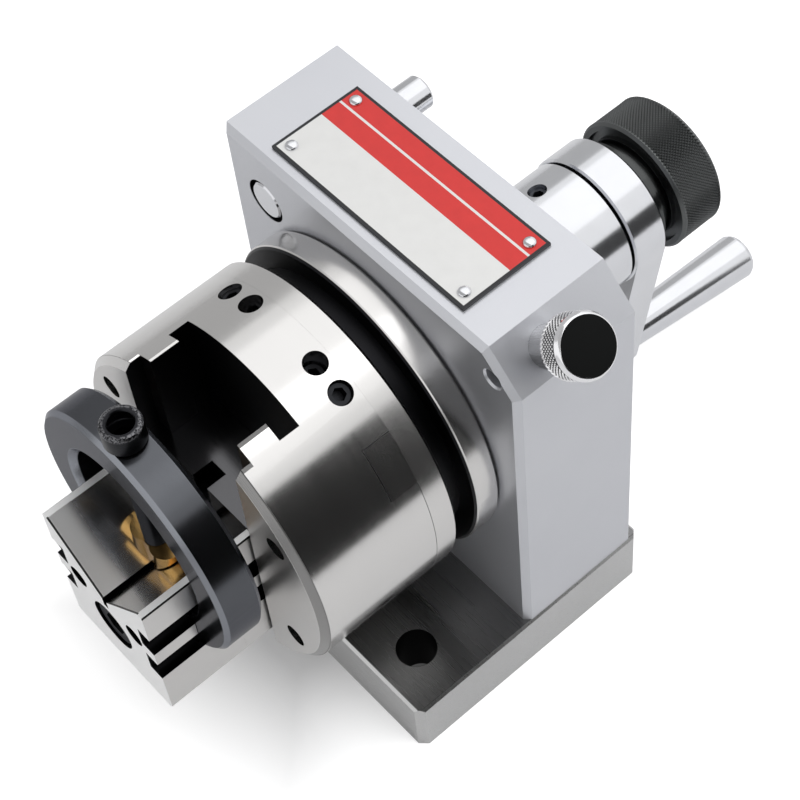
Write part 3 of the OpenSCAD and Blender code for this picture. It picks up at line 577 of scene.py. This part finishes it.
def printed_plate():
    """The bare nameplate: a white field, a red field with a white line, and a black border."""
    finish = Finish("printed_plate")
    x, y, z = finish.place()
    across = y - PLATE_MIDDLE_Y
    along = x + PLATE_LEFT
    long_sides = abs(across).above(PLATE_HALF_WIDTH - PLATE_BORDER, 0.06)
    short_sides = abs(along).above(PLATE_HALF_LENGTH - PLATE_BORDER, 0.06)
    border = long_sides.largest(short_sides)
    red_field = across.above(RED_FIELD_START, 0.05)
    line = abs(across - WHITE_LINE).below(WHITE_LINE_HALF, 0.05)
    sheen = finish.noise(x * 0.3, y * 0.3, z * 0.3, 3.0)
    white = finish.blend(sheen, (0.74, 0.74, 0.73), (0.80, 0.80, 0.79))
    red = finish.blend(sheen, (0.60, 0.022, 0.020), (0.70, 0.032, 0.028))
    colour = finish.blend(red_field * (1.0 - line), white, red)
    colour = finish.blend(border, colour, (0.006, 0.007, 0.010))
    finish.surface(Base_Color=colour, Metallic=0.0, Roughness=0.3 + sheen * 0.1)
    finish.relief(1.0 - border, 0.05)
    return finish.material


def pale_floor():
    """A white floor that keeps the shadow: a painted shadow under the base, and a faint glow held off
    the part, which paints shade round it.
    """
    finish = Finish("pale_floor")
    x, y, z = finish.place()
    mottle = finish.noise(x * 0.002, y * 0.002, z, 2.0)
    # Painted shadow: the floor is dark under the base.
    shadow_under_base = abs(x).below(50.0) * abs(y).below(36.0)
    white = finish.blend(mottle, (0.80, 0.80, 0.81), (0.82, 0.82, 0.82))
    finish.surface(Base_Color=finish.blend(shadow_under_base, white, (0.03, 0.03, 0.03)), Roughness=0.9)
    # Painted shadow: the glow fades out near the part and is off under the base.
    clear = abs(x).ramp(12.0, 52.0).largest(y.ramp(-48.0, -86.0)).largest(y.ramp(34.0, 46.0))
    clear = clear * (1.0 - shadow_under_base)
    strength = finish.on_rays(*SEEN_RAYS) * 0.06 + finish.on_rays("Camera") * clear * 0.55
    sockets = {"Color": (1.0, 1.0, 1.0), "Strength": strength}
    glow = finish.node("ShaderNodeEmission", {}, sockets)["Emission"]
    shade = Value(finish, finish.shader.outputs["BSDF"])
    both = finish.node("ShaderNodeAddShader", {}, {0: glow, 1: shade})["Shader"]
    finish.feed(finish.tree.nodes["Material Output"].inputs["Surface"], both)
    return finish.material


def card_finish(name, tone):
    """A matt card that shines with an even tone."""
    finish = Finish(name)
    finish.surface(Base_Color=(0.0, 0.0, 0.0), Roughness=1.0)
    finish.surface(Emission_Color=(tone, tone, tone), Emission_Strength=1.0)
    return finish.material


# Piece tools


def turn_from_z(axis):
    return Vector((0.0, 0.0, 1.0)).rotation_difference(Vector(axis)).to_matrix().to_4x4()


def to_axis(origin, axis):
    """Takes a shape made along Z to an axis through a point, both in the fixture's millimetres."""
    return Matrix.Scale(MM, 4) @ Matrix.Translation(Vector(origin)) @ turn_from_z(axis)


def transform_shape(shape, matrix):
    bmesh.ops.transform(shape, verts=shape.verts[:], matrix=matrix)


def make_mesh(name, shape):
    mesh = bpy.data.meshes.new(name)
    shape.to_mesh(mesh)
    shape.free()
    return mesh


def add_object(name, data):
    made = bpy.data.objects.new(name, data)
    bpy.context.scene.collection.objects.link(made)
    return made


def replace_node(node, name, shape, material, sharp_degrees):
    """Puts a finished bmesh in a CAD node's place, riding where the node rides, with the given
    material.
    """
    bmesh.ops.recalc_face_normals(shape, faces=shape.faces[:])
    mesh = make_mesh(name, shape)
    mesh.shade_smooth()
    mesh.set_sharp_from_angle(angle=math.radians(sharp_degrees))
    mesh.materials.append(material)
    piece = add_object(name, mesh)
    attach(piece, body_of_node[node])
    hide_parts(node)


def finish_node(node, material):
    """Gives a CAD node its material."""
    mesh = frame["nodes"][node].data
    mesh.materials.clear()
    mesh.materials.append(material)


def turned_shape(profile, steps):
    """Spins a profile of (radius, height) points round Z."""
    shape = bmesh.new()
    points = [shape.verts.new((radius, 0.0, height)) for radius, height in profile]
    edges = [shape.edges.new(pair) for pair in zip(points, points[1:])]
    bmesh.ops.spin(
        shape,
        geom=points + edges,
        cent=(0.0, 0.0, 0.0),
        axis=(0.0, 0.0, 1.0),
        dvec=(0.0, 0.0, 0.0),
        angle=2.0 * math.pi,
        steps=steps,
        use_merge=True,
        use_duplicate=False,
    )
    bmesh.ops.remove_doubles(shape, verts=shape.verts[:], dist=0.001)
    return shape


def knurled_rows(radius, low, high, rows):
    """The part of a profile that a knurl is pressed into."""
    return [(radius, low + (high - low) * row / rows) for row in range(rows + 1)]


def press_knurl(shape, radius, low, high, rows, columns, depth):
    """Presses a diamond knurl into the rows of faces between two heights."""
    row_height = (high - low) / rows
    for point in shape.verts:
        height = (point.co.z - low) / row_height
        if not 0.5 < height < rows - 0.5 or point.co.xy.length < radius - 0.01:
            continue
        column = math.atan2(point.co.y, point.co.x) / (2.0 * math.pi) * columns
        if (round(column) + round(height)) % 2:
            point.co.xy *= (radius - depth) / radius
    band = [face for face in shape.faces if face.calc_center_median().xy.length > radius - depth - 0.05]
    bmesh.ops.triangulate(shape, faces=band, quad_method="SHORT_EDGE", ngon_method="BEAUTY")


# Knurled knobs, rivets and the clamp screw


def make_turning_knob(material):
    """The black knob on the spindle's tail, with a groove in its front face round the hub."""
    shape = turned_shape(
        [(KNOB_BORE, 0.0), (14.4, 0.0), (14.4, 1.3), (16.3, 1.3), (16.6, 0.0), (18.0, 0.0)]
        + knurled_rows(KNOB_RADIUS, *KNOB_KNURL)
        + [(17.9, 13.6), (17.4, 13.8), (9.2, 13.8), (9.0, 13.6), (9.0, 10.9)]
        + [(KNOB_BORE, 10.9), (KNOB_BORE, 0.0)],
        KNOB_COLUMNS,
    )
    press_knurl(shape, KNOB_RADIUS, *KNOB_KNURL, KNOB_COLUMNS, KNOB_KNURL_DEPTH)
    transform_shape(shape, to_axis((0.0, KNOB_FRONT, CENTRE_HEIGHT), (0.0, 1.0, 0.0)))
    replace_node("turning_knob", "knurled_turning_knob", shape, material, 24.0)


def make_pull_knob(material):
    """The plated pull knob: a skirt over its sleeve, a coarse knurl and a bright rim round the cap."""
    shape = turned_shape(
        [(PULL_PIN_BORE, 0.0), (PULL_SKIRT_BORE, 0.0), (PULL_SKIRT_BORE, -2.2), (7.1, -2.2)]
        + knurled_rows(PULL_RADIUS, *PULL_KNURL)
        + [(7.35, 4.75), (7.2, 5.1), (7.0, 5.4), (6.85, 5.52), (6.74, 5.56), (6.74, 4.4), (0.0, 4.4)]
        + [(0.0, 1.55), (PULL_PIN_BORE, 1.55), (PULL_PIN_BORE, 0.0)],
        PULL_COLUMNS,
    )
    press_knurl(shape, PULL_RADIUS, *PULL_KNURL, PULL_COLUMNS, PULL_KNURL_DEPTH)
    foot = (PULL_FOOT * math.sqrt(0.5), PULL_LINE_Y, CENTRE_HEIGHT + PULL_FOOT * math.sqrt(0.5))
    transform_shape(shape, to_axis(foot, (1.0, 0.0, 1.0)))
    replace_node("plunger_knob", "knurled_pull_knob", shape, material, 24.0)


def make_rivets(material):
    """Four round-headed rivets that hold the nameplate."""
    dome = [(0.0, -0.8), (0.8, -0.8), (0.8, 0.0), (1.5, 0.0), (1.6, 0.12), (1.56, 0.34)]
    dome += [(1.42, 0.56), (1.2, 0.74), (0.9, 0.87), (0.5, 0.95), (0.0, 0.98)]
    heads = bmesh.new()
    for side in (-1.0, 1.0):
        for end in (-1.0, 1.0):
            head = turned_shape(dome, 32)
            x = end * (PLATE_HALF_LENGTH - RIVET_INSET) - PLATE_LEFT
            y = PLATE_MIDDLE_Y + side * (PLATE_HALF_WIDTH - RIVET_INSET)
            transform_shape(head, to_axis((x, y, PLATE_TOP), (0.0, 0.0, 1.0)))
            mesh = make_mesh("rivet", head)
            heads.from_mesh(mesh)
            bpy.data.meshes.remove(mesh)
    replace_node("plate_rivets", "round_head_rivets", heads, material, 40.0)


def make_clamp_screw(material):
    """The clamp screw with its thread, its chamfered head and its hexagon socket."""
    thread = []
    for turn in range(THREAD_TURNS):
        foot = THREAD_FOOT + turn * THREAD_PITCH
        thread += [(THREAD_ROOT, foot), (THREAD_CREST, foot + THREAD_PITCH / 2.0)]
    shape = turned_shape(
        [(0.0, -43.4), (2.2, -43.4)]
        + thread
        + [(2.9, -13.6), (2.9, 0.0), (4.75, 0.0), (CLAMP_HEAD_RADIUS, 0.25), (CLAMP_HEAD_RADIUS, 5.0)]
        + [(4.9, 5.5), (4.55, 5.9), (4.2, CLAMP_HEAD_HEIGHT), (3.3, CLAMP_HEAD_HEIGHT), (3.05, 5.7)],
        48,
    )
    mouth = [edge for edge in shape.edges if edge.is_boundary]
    rim = Matrix.Translation((0.0, 0.0, 5.3))
    hexagon = bmesh.ops.create_circle(shape, segments=6, radius=SOCKET_CORNER, matrix=rim)["verts"]
    sides = [edge for edge in shape.edges if edge.verts[0] in hexagon]
    bmesh.ops.subdivide_edges(shape, edges=sides, cuts=7)
    socket = [edge for edge in shape.edges if edge.is_boundary and edge not in mouth]
    bmesh.ops.bridge_loops(shape, edges=mouth + socket)
    # The socket's straight wall, then the cone that the drill left
    for drop, spread in ((1.5, 1.0), (0.5, 0.3)):
        wall = bmesh.ops.extrude_edge_only(shape, edges=socket)["geom"]
        corners = [part for part in wall if isinstance(part, bmesh.types.BMVert)]
        socket = [part for part in wall if isinstance(part, bmesh.types.BMEdge) and part.is_boundary]
        bmesh.ops.translate(shape, verts=corners, vec=(0.0, 0.0, -drop))
        bmesh.ops.scale(shape, verts=corners, vec=(spread, spread, 1.0))
    bmesh.ops.holes_fill(shape, edges=socket, sides=0)
    transform_shape(shape, to_axis((0.0, RING_Y, CLAMP_HEAD_Z), (0.0, 0.0, 1.0)))
    replace_node("clamp_screw", "clamp_screw_with_socket", shape, material, 28.0)


# Camera, floor and light


def place_camera():
    """Stands the camera where the photograph's was, with its roll and its field of view."""
    back = (CAMERA_PLACE - CAMERA_TARGET).normalized()
    level_right = Vector((0.0, 0.0, 1.0)).cross(back).normalized()
    level_up = back.cross(level_right)
    right = level_right * math.cos(CAMERA_ROLL) + level_up * math.sin(CAMERA_ROLL)
    up = back.cross(right)
    camera = add_object("camera", bpy.data.cameras.new("camera"))
    camera.data.sensor_width = SENSOR_WIDTH
    camera.data.lens = FOCAL_PIXELS / IMAGE_PIXELS * SENSOR_WIDTH
    camera.data.clip_start = 0.01
    turn = Matrix((right, up, back)).transposed().to_4x4()
    camera.matrix_world = Matrix.Translation(CAMERA_PLACE * MM) @ turn
    bpy.context.scene.camera = camera


def add_card(name, tone, across, upward, middle):
    """A studio card between two edge directions, given in millimetres. Only reflections see it."""
    across, upward = Vector(across), Vector(upward)
    spread = Matrix((across, upward, across.cross(upward))).transposed().to_4x4()
    shape = bmesh.new()
    bmesh.ops.create_grid(shape, x_segments=1, y_segments=1, size=0.5)
    transform_shape(shape, Matrix.Scale(MM, 4) @ Matrix.Translation(Vector(middle)) @ spread)
    card = add_object(name, make_mesh(name, shape))
    card.data.materials.append(card_finish(name + "_card", tone))
    card.visible_camera = False
    card.visible_diffuse = False
    card.visible_shadow = False


def add_lamp(name, place, size, power):
    """A round lamp that faces the part and shows in no reflection."""
    lamp = add_object(name, bpy.data.lights.new(name, "AREA"))
    lamp.data.shape = "DISK"
    lamp.data.size = size * MM
    lamp.data.energy = power
    lamp.visible_glossy = False
    direction = (Vector(place) - LAMP_TARGET).normalized()
    lamp.matrix_world = Matrix.Translation(Vector(place) * MM) @ turn_from_z(direction)


def light_studio():
    """A white room, two lamps for the shadows, and cards for the metals to mirror."""
    world = bpy.data.worlds.new("studio")
    bpy.context.scene.world = world
    world.use_nodes = True
    room = Finish("studio", world.node_tree)
    background = world.node_tree.nodes["Background"]
    background.inputs["Color"].default_value = (1.0, 1.0, 1.0, 1.0)
    room.feed(background.inputs["Strength"], room.on_rays(*SEEN_RAYS) * 0.5 + 0.5)
    add_lamp("overhead", (350.0, 250.0, 900.0), 700.0, 4.4)
    add_lamp("front_left", (-600.0, -700.0, 600.0), 700.0, 1.0)
    add_card("ceiling", 1.3, (1180.0, 0.0, 0.0), (0.0, 1200.0, 0.0), (-30.0, 550.0, 900.0))
    add_card("softbox", 2.3, (290.0, 0.0, 0.0), (0.0, 150.0, 0.0), (175.0, 225.0, 899.0))
    add_card("front_ceiling", 0.45, (1600.0, 0.0, 0.0), (0.0, 1100.0, 0.0), (-200.0, -600.0, 900.0))
    add_card("right_flag", 0.01, (0.0, 625.0, 0.0), (0.0, 0.0, 410.0), (330.0, -182.0, 205.0))
    add_card("rear_flag", 0.03, (0.0, 160.0, 0.0), (0.0, 0.0, 180.0), (330.0, 250.0, 110.0))
    add_card("left_grey", 0.5, (0.0, 1600.0, 0.0), (0.0, 0.0, 680.0), (-700.0, 0.0, 340.0))


def lay_floor():
    """A round floor, 6 metres across, on the table's level."""
    shape = bmesh.new()
    bmesh.ops.create_circle(shape, cap_ends=True, segments=64, radius=3.0)
    floor = add_object("floor", make_mesh("floor", shape))
    floor.data.materials.append(pale_floor())


# Finish of each node: by its material slot, or its own

chrome = polished_steel("chrome", (0.78, 0.79, 0.82), 0.1)
vee_steel = vee_block_steel()
deep_black = blackened_steel("deep_black", 0.035, 0.35)

finish_of_slot = {
    "satin_coat": silver_enamel(),
    "ground_steel": turned_steel("chuck_steel", chuck_shade_and_hairlines, edge_break=slot_edges),
    "ground_steel_dark": ground_steel(
        "base_steel", (0.60, 0.60, 0.60), dark_mask=hold_down_hole_shade, shaded_face=base_top_shade
    ),
    "steel": polished_steel("plain_steel", (0.60, 0.60, 0.61), 0.22),
    "bright_steel": chrome,
    "chrome": chrome,
    "black_steel": blackened_steel("black_screws", 0.10),
    "black_oxide": blackened_steel("black_oxide", 0.115, 0.13, painted_edge_light=ring_bevel_highlight),
    "bronze": bearing_bronze(),
    "brass": brass(),
    "plate_print": printed_plate(),
}
finish_of_node = {
    "faceplate": turned_steel("faceplate_steel", groove_shade, 0.15),
    # Painted shade: the slide in the chuck's slot gets a near-black tone.
    "slide_block": ground_steel("slide_steel", (0.11, 0.11, 0.115), 0.08),
    "v_block_front": vee_steel,
    "v_block_rear": vee_steel,
    "knob_hub": blackened_steel("hub_black", 0.09, 0.12, 1.0),
    "plunger_cap": blackened_steel("cap_black", 0.018, 0.3, 1.0),
    "chuck_set_screws": deep_black,
    "v_block_bolt": deep_black,
    "v_block_dowels": deep_black,
}
for node_name in frame["nodes"]:
    finish_node(node_name, finish_of_node.get(node_name, finish_of_slot[slot_of_node[node_name]]))

make_turning_knob(blackened_steel("knurled_black", 0.15, 0.3, 1.0))
make_pull_knob(knurled_chrome())
make_rivets(chrome)
make_clamp_screw(worn_black())

place_camera()
lay_floor()
light_studio()
bpy.context.scene.view_settings.view_transform = "Standard"
